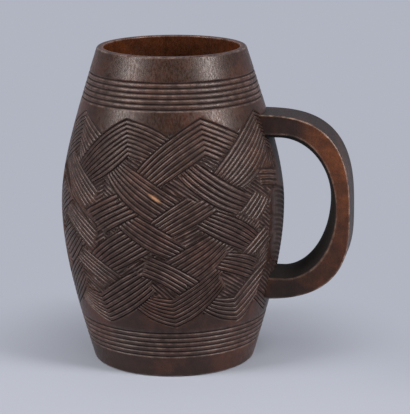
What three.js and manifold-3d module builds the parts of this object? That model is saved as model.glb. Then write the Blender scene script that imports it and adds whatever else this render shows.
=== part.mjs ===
// A wooden mug carved out of one block: a barrel-shaped cup with a plait carved round its belly
// and a band of turned rings above and below it, and a strap handle that is flat outside and
// rounded towards the fingers. Lengths are in millimetres and bearings in degrees. +Z is up, +X
// runs out through the handle, and the origin is the centre of the base, on the surface that
// the mug stands on.

import * as THREE from 'three';
import { mergeVertices } from 'three/addons/utils/BufferGeometryUtils.js';
import Module from 'manifold-3d';

const wasm = await Module();
wasm.setup();

// Barrel, measured outside
const HEIGHT = 170;
const BASE_RADIUS = 43.4;
const BELLY_RADIUS = 60;
const BELLY_HEIGHT = 85;
const MOUTH_RADIUS = 39.6;
// How quickly the side bends at the belly: a small value gives straighter staves
const LOWER_ROUNDNESS = 0.61;
const UPPER_ROUNDNESS = 0.39;

// Walls
const RIM_WALL = 3.6;
const BELLY_WALL = 6.5;
const FLOOR_THICKNESS = 12;
const FLOOR_COVE = 9;
const LIP_ROUNDING = 0.8;
const FOOT_ROUNDING = 1.2;

// Turned rings, six grooves in each band
const RING_GROOVES = 6;
const GROOVE_WIDTH = 1.3;
const GROOVE_DEPTH = 0.6;
const UPPER_RINGS_BELOW_RIM = 13;
const UPPER_RING_PITCH = 2.62;
const LOWER_RINGS_ABOVE_BASE = 12.5;
const LOWER_RING_PITCH = 2.7;

// Plait between the two bands: rows of strands that pass over and under each other. It ends in
// a zigzag of peaks above and points below, clear of the rings
const PLAIT_REPEATS = 9;
const PLAIT_ROWS = 8;
const RIBS_PER_STRAND = 2;
const PLAIT_DEPTH = 1;
// How wide a flank of the groove along a strand's edge is
const PLAIT_SHOULDER = 1.5;
const PLAIT_BELOW_RINGS = 2.3;
const PLAIT_ABOVE_RINGS = 1.3;
// Bearing of one peak from the handle, and how much further round the middle rows are cut
const PEAK_BEARING = -22;
const PLAIT_LEAN = 14;
// Wood left plain at each side of the strap's roots
const PLAIN_BESIDE_HANDLE = 1.5;

// Handle strap: how far it stands out from the belly, where its outside leaves the barrel, and
// how thick it is at its middle line and along its flat sides
const HANDLE_WIDTH = 24;
const HANDLE_PROJECTION = 36.9;
const HANDLE_TOP_BELOW_RIM = 33.7;
const HANDLE_BOTTOM_ABOVE_BASE = 36;
const STRAP_THICKNESS_TOP = 13.4;
const STRAP_THICKNESS_SIDE = 11.1;
const STRAP_THICKNESS_BOTTOM = 15.4;
const FLAT_SIDE_TOP = 10.2;
const FLAT_SIDE_MIDDLE = 6.8;
const FLAT_SIDE_BOTTOM = 11.5;
const ARRIS_SOFTENING = 0.5;
// Centres of the three bends, out from the belly line and up from the base
const OUTER_BEND_OUT = -13.8;
const OUTER_BEND_HEIGHT = 80;
const SIDE_BEND_OUT = 2.3;
const SIDE_BEND_HEIGHT = 85.2;
const INNER_BEND_OUT = -1.8;
const INNER_BEND_HEIGHT = 92;
// Exponents of the bends: 2 is an ellipse, more is squarer
const OUTER_SQUARENESS_TOP = 2.95;
const OUTER_SQUARENESS_BOTTOM = 2.63;
const INNER_SQUARENESS = 2;
// How deep the strap is first made into the wall, and what is left open when it is trimmed
const ROOT_DEPTH = 6;
const ROOT_CLEARANCE = 0.3;

// Fineness of the curved faces. A rib has two lines, its crest and its groove, and a repeat of
// the plait is two strands wide, so the staves meet the lines of the plait
const LINES_PER_STRAND = 2 * RIBS_PER_STRAND;
const STAVES = 2 * LINES_PER_STRAND * PLAIT_REPEATS;
const BARREL_STEPS = 12;
const INSIDE_STEPS = 10;
const CORNER_STEPS = 3;
const STRAP_STEPS = 40;
const STRAP_ROUND_STEPS = 4;

const DARK_WOOD = 0x46332d;
const HANDLE_WOOD = 0x553a2c;

const FULL_TURN = 2 * Math.PI;

// The barrel's outside radius at a height: a hyperbola from the belly to each end
function outerRadius(z) {
  const below = z < BELLY_HEIGHT;
  const span = below ? BELLY_HEIGHT : HEIGHT - BELLY_HEIGHT;
  const endRadius = below ? BASE_RADIUS : MOUTH_RADIUS;
  const roundness = below ? LOWER_ROUNDNESS : UPPER_ROUNDNESS;
  const travel = Math.abs(z - BELLY_HEIGHT) / span;
  const bend = Math.hypot(1, travel / roundness) - 1;
  const fullBend = Math.hypot(1, 1 / roundness) - 1;
  return BELLY_RADIUS - (BELLY_RADIUS - endRadius) * bend / fullBend;
}

// The wall is thin at the rim and reaches its full thickness at the belly
function innerRadius(z) {
  const towardsBelly = Math.min(1, (HEIGHT - z) / (HEIGHT - BELLY_HEIGHT));
  const wall = RIM_WALL + (BELLY_WALL - RIM_WALL) * Math.sin(towardsBelly * Math.PI / 2);
  return outerRadius(z) - wall;
}

function point(radius, z) {
  return new THREE.Vector2(radius, z);
}

// One cut of the turning tool: in at one edge, down to its bottom and out at the other edge
function ringGroove(z) {
  const half = GROOVE_WIDTH / 2;
  return [
    point(outerRadius(z - half), z - half),
    point(outerRadius(z) - GROOVE_DEPTH, z),
    point(outerRadius(z + half), z + half),
  ];
}

function ringBand(lowestGroove, pitch) {
  const points = [];
  for (let ring = 0; ring < RING_GROOVES; ring += 1) {
    points.push(...ringGroove(lowestGroove + ring * pitch));
  }
  return points;
}

// Quarter round between a side of the wall and a level face, from the side to the face
function roundedCorner(radiusAt, faceHeight, rounding, upwards, outwards) {
  const points = [];
  for (let step = 0; step <= CORNER_STEPS; step += 1) {
    const turn = step / CORNER_STEPS * Math.PI / 2;
    const z = faceHeight - upwards * rounding * (1 - Math.sin(turn));
    points.push(point(radiusAt(z) - outwards * rounding * (1 - Math.cos(turn)), z));
  }
  return points;
}

function barrelSide(fromHeight, toHeight, steps) {
  const points = [];
  for (let step = 0; step <= steps; step += 1) {
    const z = fromHeight + (toHeight - fromHeight) * step / steps;
    points.push(point(outerRadius(z), z));
  }
  return points;
}

const lowerRingsTop = LOWER_RINGS_ABOVE_BASE + (RING_GROOVES - 1) * LOWER_RING_PITCH;
const upperRingsBottom = HEIGHT - UPPER_RINGS_BELOW_RIM - (RING_GROOVES - 1) * UPPER_RING_PITCH;
const carvedBandBottom = lowerRingsTop + LOWER_RING_PITCH;
const carvedBandTop = upperRingsBottom - UPPER_RING_PITCH;

function footOutside() {
  return [
    point(0, 0),
    ...roundedCorner(outerRadius, 0, FOOT_ROUNDING, -1, 1).reverse(),
    ...ringBand(LOWER_RINGS_ABOVE_BASE, LOWER_RING_PITCH),
    point(outerRadius(carvedBandBottom), carvedBandBottom),
  ];
}

function neckOutside() {
  return [
    point(outerRadius(carvedBandTop), carvedBandTop),
    ...ringBand(upperRingsBottom, UPPER_RING_PITCH),
    ...roundedCorner(outerRadius, HEIGHT, LIP_ROUNDING, 1, 1),
  ];
}

function cupInside() {
  const points = roundedCorner(innerRadius, HEIGHT, LIP_ROUNDING, 1, -1).reverse();
  const coveTop = FLOOR_THICKNESS + FLOOR_COVE;
  const sideTop = HEIGHT - 2 * LIP_ROUNDING;
  for (let step = 0; step < INSIDE_STEPS; step += 1) {
    const z = sideTop + (coveTop - sideTop) * step / INSIDE_STEPS;
    points.push(point(innerRadius(z), z));
  }
  points.push(...roundedCorner(innerRadius, FLOOR_THICKNESS, FLOOR_COVE, -1, 1));
  points.push(point(0, FLOOR_THICKNESS));
  return points;
}

// Turns a profile about the mug's axis
function turned(profile) {
  const geometry = new THREE.LatheGeometry(profile, STAVES);
  geometry.rotateX(Math.PI / 2);
  return geometry;
}

// Shares the vertices and drops the faces that have no area where a profile meets the axis
function closedMesh(geometry) {
  const shared = geometry.clone();
  for (const name of Object.keys(shared.attributes)) {
    if (name !== 'position') {
      shared.deleteAttribute(name);
    }
  }
  const merged = mergeVertices(shared, 1e-4);
  const corners = [];
  for (let face = 0; face < merged.index.count; face += 3) {
    const [a, b, c] = [0, 1, 2].map((corner) => merged.index.getX(face + corner));
    if (a !== b && b !== c && c !== a) {
      corners.push(a, b, c);
    }
  }
  merged.setIndex(corners);
  return merged;
}

function toSolid(geometry) {
  const closed = closedMesh(geometry);
  const mesh = new wasm.Mesh({
    numProp: 3,
    vertProperties: new Float32Array(closed.attributes.position.array),
    triVerts: new Uint32Array(closed.index.array),
  });
  return new wasm.Manifold(mesh);
}

function toGeometry(solid) {
  const mesh = solid.getMesh();
  const geometry = new THREE.BufferGeometry();
  geometry.setAttribute('position', new THREE.BufferAttribute(new Float32Array(mesh.vertProperties), 3));
  geometry.setIndex(Array.from(mesh.triVerts));
  geometry.computeVertexNormals();
  return geometry;
}

// The three bends that the strap follows, seen from the side
const handleReach = BELLY_RADIUS + HANDLE_PROJECTION;
const handleTop = HEIGHT - HANDLE_TOP_BELOW_RIM;
const outerBend = {
  centreX: BELLY_RADIUS + OUTER_BEND_OUT,
  centreZ: OUTER_BEND_HEIGHT,
  reach: handleReach,
  top: handleTop,
  bottom: HANDLE_BOTTOM_ABOVE_BASE,
  squarenessTop: OUTER_SQUARENESS_TOP,
  squarenessBottom: OUTER_SQUARENESS_BOTTOM,
};
const sideBend = {
  centreX: BELLY_RADIUS + SIDE_BEND_OUT,
  centreZ: SIDE_BEND_HEIGHT,
  reach: handleReach - FLAT_SIDE_MIDDLE,
  top: handleTop - FLAT_SIDE_TOP,
  bottom: HANDLE_BOTTOM_ABOVE_BASE + FLAT_SIDE_BOTTOM,
  squarenessTop: INNER_SQUARENESS,
  squarenessBottom: INNER_SQUARENESS,
};
const innerBend = {
  centreX: BELLY_RADIUS + INNER_BEND_OUT,
  centreZ: INNER_BEND_HEIGHT,
  reach: handleReach - STRAP_THICKNESS_SIDE,
  top: handleTop - STRAP_THICKNESS_TOP,
  bottom: HANDLE_BOTTOM_ABOVE_BASE + STRAP_THICKNESS_BOTTOM,
  squarenessTop: INNER_SQUARENESS,
  squarenessBottom: INNER_SQUARENESS,
};
const rootX = Math.min(outerRadius(handleTop), outerRadius(HANDLE_BOTTOM_ABOVE_BASE)) - ROOT_DEPTH;

// A place on a bend: a quarter turn is its top, zero its reach, minus a quarter turn its bottom
function onBend(bend, turn) {
  const above = turn >= 0;
  const exponent = 2 / (above ? bend.squarenessTop : bend.squarenessBottom);
  const rise = above ? bend.top - bend.centreZ : bend.bottom - bend.centreZ;
  const across = Math.pow(Math.max(0, Math.cos(turn)), exponent);
  const up = Math.pow(Math.abs(Math.sin(turn)), exponent);
  const x = bend.centreX + (bend.reach - bend.centreX) * across;
  return new THREE.Vector2(x, bend.centreZ + rise * up);
}

// The strap's section: flat outside with softened arrises, flat sides, and a round towards the
// fingers
function strapSection(outer, side, inner) {
  const half = HANDLE_WIDTH / 2;
  const along = ARRIS_SOFTENING / outer.distanceTo(side);
  const softened = outer.clone().lerp(side, along);
  const section = [
    [outer, half - ARRIS_SOFTENING],
    [softened, half],
    [side, half],
  ];
  for (let step = 1; step < 2 * STRAP_ROUND_STEPS; step += 1) {
    const turn = step / STRAP_ROUND_STEPS * Math.PI / 2;
    section.push([side.clone().lerp(inner, Math.sin(turn)), half * Math.cos(turn)]);
  }
  section.push([side, -half], [softened, -half], [outer, ARRIS_SOFTENING - half]);
  return section.map(([place, y]) => new THREE.Vector3(place.x, y, place.y));
}

// Skins a row of equal sections and closes both ends
function skinned(sections) {
  const around = sections[0].length;
  const vertices = sections.flat().flatMap((corner) => [corner.x, corner.y, corner.z]);
  const faces = [];
  for (let row = 0; row + 1 < sections.length; row += 1) {
    for (let column = 0; column < around; column += 1) {
      const next = (column + 1) % around;
      const [a, b] = [row * around + column, row * around + next];
      const [c, d] = [a + around, b + around];
      faces.push(a, c, b, b, c, d);
    }
  }
  const last = (sections.length - 1) * around;
  for (let column = 1; column + 1 < around; column += 1) {
    faces.push(0, column, column + 1);
    faces.push(last, last + column + 1, last + column);
  }
  const geometry = new THREE.BufferGeometry();
  geometry.setAttribute('position', new THREE.Float32BufferAttribute(vertices, 3));
  geometry.setIndex(faces);
  return geometry;
}

function strap() {
  const sections = [];
  for (let step = 0; step <= STRAP_STEPS; step += 1) {
    const turn = Math.PI / 2 - step / STRAP_STEPS * Math.PI;
    const places = [outerBend, sideBend, innerBend].map((bend) => onBend(bend, turn));
    const atRoot = places.map((place) => new THREE.Vector2(rootX, place.y));
    if (step === 0) {
      sections.push(strapSection(...atRoot));
    }
    sections.push(strapSection(...places));
    if (step === STRAP_STEPS) {
      sections.push(strapSection(...atRoot));
    }
  }
  return skinned(sections);
}

// What the barrel fills, with the root clearance all round
function barrelEnvelope() {
  const side = barrelSide(carvedBandBottom, carvedBandTop, BARREL_STEPS);
  const profile = side.map((place) => point(place.x + ROOT_CLEARANCE, place.y));
  const lowest = profile[0];
  const highest = profile[profile.length - 1];
  return turned([point(0, lowest.y), ...profile, point(0, highest.y)]);
}

// One corner of the cup's outside or inside, with its turn kept between zero and a full turn
function cupCorner(turn, radius, z) {
  const place = new THREE.Vector3(radius * Math.cos(turn), radius * Math.sin(turn), z);
  return { turn: THREE.MathUtils.euclideanModulo(turn, FULL_TURN), place };
}

// A row of corners for one point of a profile; on the axis it is a single corner
function turnedRow(profilePoint) {
  const count = profilePoint.x === 0 ? 1 : STAVES;
  const row = [];
  for (let stave = 0; stave < count; stave += 1) {
    row.push(cupCorner(stave / STAVES * FULL_TURN, profilePoint.x, profilePoint.y));
  }
  return row;
}

// The plait is drawn with two families of slanting lines, rising and falling. They cross in
// columns round the barrel and in steps up it, at every second column of each step
const plaitBottom = carvedBandBottom + PLAIT_ABOVE_RINGS;
const plaitTop = carvedBandTop - PLAIT_BELOW_RINGS;
const plaitSteps = LINES_PER_STRAND * (PLAIT_ROWS + 1);
const stepHeight = (plaitTop - plaitBottom) / plaitSteps;
const columnWidth = FULL_TURN * BELLY_RADIUS / STAVES;
const lineSpacing = 1 / Math.hypot(1 / (2 * stepHeight), 1 / (2 * columnWidth));
const topRow = PLAIT_ROWS - 1;
const peakColumn = LINES_PER_STRAND * topRow;

// Columns from the nearest of the columns that lie a whole repeat apart
function columnsFrom(column, start) {
  const repeat = 2 * LINES_PER_STRAND;
  const along = THREE.MathUtils.euclideanModulo(column - start, repeat);
  return Math.min(along, repeat - along);
}

// Whether the wood is cut down at a crossing. The strands' edges and the grooves between their
// ribs are cut, the crests of the ribs stay, and so does the plain wood outside the zigzags
function isCut(column, step) {
  const overBottom = step - columnsFrom(column, 0);
  const underTop = plaitSteps - columnsFrom(column, peakColumn) - step;
  if (overBottom <= 0 || underTop <= 0) {
    return Math.min(overBottom, underTop) === 0;
  }
  const [rising, falling] = [(step - column) / 2, (step + column) / 2];
  const acrossRising = THREE.MathUtils.euclideanModulo(rising, LINES_PER_STRAND);
  const acrossFalling = THREE.MathUtils.euclideanModulo(falling, LINES_PER_STRAND);
  const row = Math.floor(rising / LINES_PER_STRAND) + Math.floor(falling / LINES_PER_STRAND);
  if (acrossRising === 0 || (acrossFalling === 0 && row !== topRow)) {
    return true;
  }
  // The strands fold at the points and peaks, and lie over each other in the rows between
  let across = row % 2 === 0 ? acrossRising : acrossFalling;
  if (row === 0) {
    across = Math.min(acrossRising, acrossFalling);
  } else if (row === topRow) {
    across = acrossFalling === 0 ? acrossRising : Math.max(acrossRising, acrossFalling);
  }
  return across % 2 === 0;
}

// Where a line lies, counted in even lines. Those next to a strand's edge are drawn close to
// it, so the groove along the edge is narrow and the strand stands out
function linePlace(line) {
  const shoulder = PLAIT_SHOULDER / lineSpacing;
  const strand = Math.floor(line / LINES_PER_STRAND) * LINES_PER_STRAND;
  if (line === strand + 1) {
    return strand + shoulder;
  }
  return line === strand + LINES_PER_STRAND - 1 ? strand + LINES_PER_STRAND - shoulder : line;
}

function isBesideHandle(corner) {
  const plain = HANDLE_WIDTH / 2 + PLAIN_BESIDE_HANDLE;
  return corner.place.x > 0 && Math.abs(corner.place.y) < plain;
}

function plaitCorner(column, step) {
  const rising = linePlace((step - column) / 2);
  const falling = linePlace((step + column) / 2);
  const z = plaitBottom + (rising + falling) * stepHeight;
  const lean = PLAIT_LEAN * Math.sin(Math.PI * (z - plaitBottom) / (plaitTop - plaitBottom));
  const bearing = THREE.MathUtils.degToRad(PEAK_BEARING + lean);
  const turn = bearing + (falling - rising - peakColumn) / STAVES * FULL_TURN;
  const plain = cupCorner(turn, outerRadius(z), z);
  const cut = isCut(column, step) && !isBesideHandle(plain);
  return cut ? cupCorner(turn, outerRadius(z) - PLAIT_DEPTH, z) : plain;
}

function plaitCorners() {
  const steps = [];
  for (let step = 0; step <= plaitSteps; step += 1) {
    const corners = [];
    for (let column = step % 2; column < STAVES; column += 2) {
      corners.push(plaitCorner(column, step));
    }
    steps.push(corners);
  }
  return steps;
}

// The cells between the lines, each as two faces on either side of its upright middle, and the
// zigzag edges where the plait meets the turned parts
function plaitSkin(steps) {
  const cornerAt = (column, step) => {
    const wrapped = THREE.MathUtils.euclideanModulo(column, STAVES);
    return steps[step][(wrapped - step % 2) / 2];
  };
  const faces = [];
  for (let step = 0; step + 2 <= plaitSteps; step += 1) {
    for (let column = step % 2; column < STAVES; column += 2) {
      const [lowest, highest] = [cornerAt(column, step), cornerAt(column, step + 2)];
      faces.push([lowest, cornerAt(column + 1, step + 1), highest]);
      faces.push([lowest, highest, cornerAt(column - 1, step + 1)]);
    }
  }
  const [lowerEdge, upperEdge] = [[], []];
  for (let column = 0; column < STAVES; column += 1) {
    lowerEdge.push(cornerAt(column, column % 2));
    upperEdge.push(cornerAt(column, plaitSteps - column % 2));
  }
  return { faces, lowerEdge, upperEdge };
}

// Faces between two rows of corners, from turn to turn; one row may be a single corner
function facesBetween(lowerRow, upperRow) {
  const [lower, upper] = [lowerRow, upperRow].map(
    (row) => [...row].sort((one, other) => one.turn - other.turn),
  );
  const [lowerSteps, upperSteps] = [lower, upper].map((row) => (row.length > 1 ? row.length : 0));
  const turnAt = (row, place) => row[place % row.length].turn + (place < row.length ? 0 : FULL_TURN);
  const faces = [];
  let [low, high] = [0, 0];
  while (low < lowerSteps || high < upperSteps) {
    const [a, b] = [lower[low % lower.length], upper[high % upper.length]];
    const lowIsNext = low < lowerSteps && turnAt(lower, low + 1) <= turnAt(upper, high + 1);
    if (lowIsNext || high === upperSteps) {
      low += 1;
      faces.push([a, lower[low % lower.length], b]);
    } else {
      high += 1;
      faces.push([a, upper[high % upper.length], b]);
    }
  }
  return faces;
}

function facesOfRows(rows) {
  return rows.slice(1).flatMap((row, index) => facesBetween(rows[index], row));
}

function cupBody() {
  const steps = plaitCorners();
  const skin = plaitSkin(steps);
  const foot = footOutside().map(turnedRow);
  const neckAndInside = [...neckOutside(), ...cupInside()].map(turnedRow);
  const faces = [
    ...facesOfRows([...foot, skin.lowerEdge]),
    ...skin.faces,
    ...facesOfRows([skin.upperEdge, ...neckAndInside]),
  ];
  const corners = [...foot, ...steps, ...neckAndInside].flat();
  const indices = new Map(corners.map((corner, index) => [corner, index]));
  const vertices = corners.flatMap((corner) => corner.place.toArray());
  const geometry = new THREE.BufferGeometry();
  geometry.setAttribute('position', new THREE.Float32BufferAttribute(vertices, 3));
  geometry.setIndex(faces.flat().map((corner) => indices.get(corner)));
  return geometry;
}

function handle() {
  return toGeometry(toSolid(strap()).subtract(toSolid(barrelEnvelope())));
}

function piece(name, geometry, color) {
  geometry.computeVertexNormals();
  const material = new THREE.MeshStandardMaterial({ color, roughness: 0.5, metalness: 0 });
  const mesh = new THREE.Mesh(geometry, material);
  mesh.name = name;
  return mesh;
}

const mug = new THREE.Group();
mug.add(piece('cup_body', cupBody(), DARK_WOOD));
mug.add(piece('handle', handle(), HANDLE_WOOD));

export default mug;
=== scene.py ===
# %% [markdown]
# A carved wooden mug
#
# The mug is one block of dark hardwood, turned or shaved to a barrel, hollowed, and ringed
# above and below. Its belly is cut with a V-gouge into a plait of ridged panels, and the
# handle is a strap left standing from the same block.
#
# The imported CAD model holds the sizes. Here its two nodes get their looks: a cup whose
# carving is real geometry, a handle with worn edges that also carry a painted highlight, and
# wood that is built from nodes.
# Lengths are in millimetres until a mesh is made, because that is how a carver measures.

from math import cos, dist, pi, radians, sin

import bmesh
import bpy
import numpy as np
from mathutils import Euler, Matrix, Vector
from mathutils.geometry import delaunay_2d_cdt


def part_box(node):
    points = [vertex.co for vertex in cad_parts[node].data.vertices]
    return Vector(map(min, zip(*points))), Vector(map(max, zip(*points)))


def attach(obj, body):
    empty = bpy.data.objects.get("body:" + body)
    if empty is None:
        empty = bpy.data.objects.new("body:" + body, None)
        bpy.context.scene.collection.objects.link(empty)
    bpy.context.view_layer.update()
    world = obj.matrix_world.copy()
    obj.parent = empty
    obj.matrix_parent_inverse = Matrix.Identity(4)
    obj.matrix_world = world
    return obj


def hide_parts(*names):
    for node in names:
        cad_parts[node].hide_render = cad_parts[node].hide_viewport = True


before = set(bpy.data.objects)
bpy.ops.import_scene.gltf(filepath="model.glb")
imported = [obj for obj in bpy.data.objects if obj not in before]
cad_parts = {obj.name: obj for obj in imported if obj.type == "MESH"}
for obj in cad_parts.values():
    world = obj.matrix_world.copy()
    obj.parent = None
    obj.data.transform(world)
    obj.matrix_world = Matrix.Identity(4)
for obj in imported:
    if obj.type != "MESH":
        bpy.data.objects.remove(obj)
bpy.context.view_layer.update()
scene = bpy.context.scene
MM = 0.001


def placed(name, data):
    """A new object in the scene, for a mesh, a lamp or a camera."""
    made = bpy.data.objects.new(name, data)
    scene.collection.objects.link(made)
    return made


# %% [markdown]
# The height and the handle's sizes come from the frame, so the looks follow the CAD when it
# changes. The barrel's radii are repeated here, because the cuts of the plait trim the CAD's
# box. Its side is a hyperbola above and below the belly, which gives a round belly and nearly
# straight ends, as on a real barrel.

# %% Sizes from the frame
handle_low, handle_high = (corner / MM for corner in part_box("handle"))
HANDLE_BOTTOM, HANDLE_TOP = handle_low.z, handle_high.z
HANDLE_WIDTH = handle_high.y - handle_low.y
HANDLE_REACH = handle_high.x
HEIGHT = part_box("cup_body")[1].z / MM
BELLY_RADIUS = 60
BELLY_HEIGHT = HEIGHT / 2
BASE_RADIUS = 43.4
MOUTH_RADIUS = 39.6
LOWER_ROUNDNESS = 0.61
UPPER_ROUNDNESS = 0.39
RIM_WALL = 3.6
BELLY_WALL = 6.5


def outer_radius(z):
    """The barrel's outside radius at one height or an array of heights."""
    z = np.asarray(z, float)
    below = z < BELLY_HEIGHT
    span = np.where(below, BELLY_HEIGHT, HEIGHT - BELLY_HEIGHT)
    end = np.where(below, BASE_RADIUS, MOUTH_RADIUS)
    roundness = np.where(below, LOWER_ROUNDNESS, UPPER_ROUNDNESS)
    bend = np.hypot(1, np.abs(z - BELLY_HEIGHT) / span / roundness) - 1
    full_bend = np.hypot(1, 1 / roundness) - 1
    return BELLY_RADIUS - (BELLY_RADIUS - end) * bend / full_bend


def inner_radius(z):
    """The hollow's radius: the wall is thin at the rim and thickest from the belly down."""
    towards_belly = np.minimum(1, (HEIGHT - z) / (HEIGHT - BELLY_HEIGHT))
    wall = RIM_WALL + (BELLY_WALL - RIM_WALL) * np.sin(towards_belly * pi / 2)
    return outer_radius(z) - wall


print("height", HEIGHT, "belly", BELLY_RADIUS, "handle reach", HANDLE_REACH)

# %% [markdown]
# The camera stands about a metre away and a little above the rim, turned round the mug so
# that the handle points slightly towards it. It is set first, so that every later look at
# the picture is from the right place.

# %% Camera
CAMERA_DISTANCE = 977.8
CAMERA_HEIGHT = 319.95
CAMERA_ROUND = 11.5
CAMERA_PITCH = 13.69
CAMERA_YAW = 1.008
CAMERA_ROLL = 0.321
FOCAL_LENGTH = 163.35

around = radians(CAMERA_ROUND)
lens = bpy.data.cameras.new("lens")
lens.sensor_fit = "HORIZONTAL"
lens.lens = FOCAL_LENGTH
camera = placed("camera", lens)
camera.location = (
    CAMERA_DISTANCE * MM * sin(around),
    -CAMERA_DISTANCE * MM * cos(around),
    CAMERA_HEIGHT * MM,
)
level_turn = Euler((radians(90 - CAMERA_PITCH), 0, around - radians(CAMERA_YAW)))
turn = level_turn.to_matrix() @ Matrix.Rotation(-radians(CAMERA_ROLL), 3, "Z")
camera.rotation_euler = turn.to_euler()
scene.camera = camera
scene.view_settings.view_transform = "Standard"
print("camera at", [round(value, 3) for value in camera.location])

# %% [markdown]
# The carving: what a panel is
#
# On the real mug each panel of the plait is a bundle of parallel ridges. The carver cut two
# long grooves, the rails, and then more grooves between them. A panel's ends butt against
# its neighbours' rails, or meet another panel in a fold, at the peaks and at the points.
#
# So a panel is written as the number of its ridges, its top and bottom rails, each through
# three places from left to right, and the ends that fold. A place is in degrees round the
# barrel, with zero at the handle, and in millimetres up from the base. The places were set
# one by one, because no formula gives the spacing of a hand that had no template.

# %% The panels that were set one by one
LEFT, RIGHT, NONE = ("left",), ("right",), ()

RISING_PANELS = [
    (8, [(-136.7, 114.8), (-122.5, 129.8), (-106.8, 138.6)],
     [(-123.5, 105.8), (-114, 111.6), (-103.5, 121)], RIGHT),
    (7, [(-98, 113.8), (-80, 129.8), (-61.8, 139.3)],
     [(-84, 106.8), (-73, 113.9), (-60.4, 121.3)], RIGHT),
    (9, [(-57, 112), (-36.8, 129.2), (-19.8, 139.3)],
     [(-41, 102.8), (-27, 108.6), (-13.2, 119.5)], RIGHT),
    (6, [(-128, 90.5), (-118, 96.3), (-109.5, 100.8)],
     [(-114.5, 80), (-106, 85.8), (-96.3, 91)], NONE),
    (6, [(-89.5, 88.2), (-80, 95.5), (-72, 100.5)],
     [(-79.5, 80.4), (-68, 86.5), (-56.3, 93)], NONE),
    (5, [(-43.5, 90.5), (-38, 95.2), (-32, 99.7)],
     [(-31.5, 83.7), (-25, 89), (-19.5, 93.8)], NONE),
    (7, [(-124.5, 68.3), (-115.5, 76), (-106, 82.5)],
     [(-109.8, 60.2), (-100, 65.7), (-91.3, 71.3)], NONE),
    (7, [(-82, 68), (-71, 74.5), (-61, 80.2)],
     [(-65.3, 56), (-57.5, 62), (-50, 70)], NONE),
    (3, [(-39.5, 70.3), (-32.5, 75.3), (-25, 80)],
     [(-33, 65), (-27, 68.5), (-19, 73)], NONE),
    (7, [(-123, 45.5), (-112, 53), (-98.5, 61.3)],
     [(-118, 30.2), (-103, 38), (-88, 50.5)], LEFT),
    (7, [(-80, 46), (-66, 55), (-57, 61.8)],
     [(-77.3, 30.1), (-62, 39), (-50.5, 52)], LEFT),
    (5, [(-43.5, 44), (-33, 54), (-20.5, 61)],
     [(-38.7, 30), (-32, 34), (-26.8, 40.5)], LEFT),
]
FALLING_PANELS = [
    (8, [(-144, 139), (-134, 134.7), (-123.5, 130)],
     [(-142, 121), (-139.5, 118.5), (-137, 116)], LEFT),
    (8, [(-106.8, 138.6), (-94, 135.9), (-80.3, 130.2)],
     [(-103.5, 121), (-99.5, 120.1), (-95.5, 118.9)], LEFT),
    (7, [(-61.8, 139.3), (-50, 134.9), (-38.5, 130)],
     [(-60.4, 121.3), (-57, 119.6), (-53.5, 118)], LEFT),
    (9, [(-19.8, 139.3), (-15, 137.3), (-9, 134)],
     [(-13.2, 119.5), (-11.2, 118.6), (-9, 117.5)], LEFT),
    (6, [(-147, 117.5), (-132, 109.5), (-119.7, 101.3)],
     [(-157.5, 110.5), (-141, 99.5), (-127.3, 90)], NONE),
    (7, [(-105, 116.8), (-90, 108.5), (-76, 99.6)],
     [(-115, 109.5), (-106, 99.8), (-89.8, 88.2)], NONE),
    (5, [(-65, 117.3), (-52, 108), (-37.5, 99.5)],
     [(-75.5, 110.3), (-62, 98.3), (-45.8, 90)], NONE),
    (5, [(-140, 91), (-130, 86.3), (-119.7, 80)],
     [(-148, 84), (-136, 76.5), (-124.8, 69)], NONE),
    (5, [(-96.3, 90.5), (-84, 83.5), (-72, 75.8)],
     [(-106.5, 84), (-95, 75.5), (-81, 68.8)], NONE),
    (6, [(-56.8, 92.8), (-44, 87), (-32, 78.5)],
     [(-65.5, 84), (-53, 76.3), (-40.5, 70)], NONE),
    (5, [(-132.5, 70), (-120, 64.6), (-107.5, 58)],
     [(-138.5, 61.5), (-127, 55.5), (-115.5, 50.2)], NONE),
    (5, [(-91.5, 70.5), (-80, 65), (-65, 55.5)],
     [(-95, 59), (-85, 54.6), (-75.5, 48.3)], NONE),
    (5, [(-49.5, 69.7), (-39, 67.3), (-29, 62.5)],
     [(-57, 62.3), (-46, 57.8), (-36.4, 53.7)], NONE),
    (7, [(-135.5, 47), (-129.5, 46), (-123, 45.5)],
     [(-142.7, 39.5), (-131, 34), (-118, 30.2)], RIGHT),
    (7, [(-91, 47.5), (-85.5, 46.5), (-80, 46)],
     [(-99, 39.7), (-89, 33.5), (-77.3, 30.1)], RIGHT),
    (5, [(-55.3, 45.3), (-50, 44.6), (-43.5, 44)],
     [(-61.5, 38.6), (-51, 33.2), (-38.7, 30)], RIGHT),
    (3, [(-25, 44.6), (-17, 40), (-10, 36)],
     [(-27, 40.3), (-18, 34.2), (-9, 29.4)], NONE),
    (3, [(-27, 110.6), (-19, 109.2), (-9.5, 107)],
     [(-26.5, 102), (-19, 100.7), (-9.5, 98.5)], NONE),
]
print("panels set by hand:", len(RISING_PANELS) + len(FALLING_PANELS))

# %% [markdown]
# The far side is plaited in the same way, but it isn't seen together with the front, so one
# repeat of nine panels goes round it, with its places counted from the peak above it. Each
# repeat is nudged a little, so that no two are alike.

# %% The repeat for the far side
REPEAT_WIDTH = 40
FAR_REPEATS = 5
FAR_PEAKS_FROM = -144
FAR_PEAKS_TO = -340.7
NUDGE_DEGREES = 0.5
NUDGE_HEIGHT = 0.4

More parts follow.
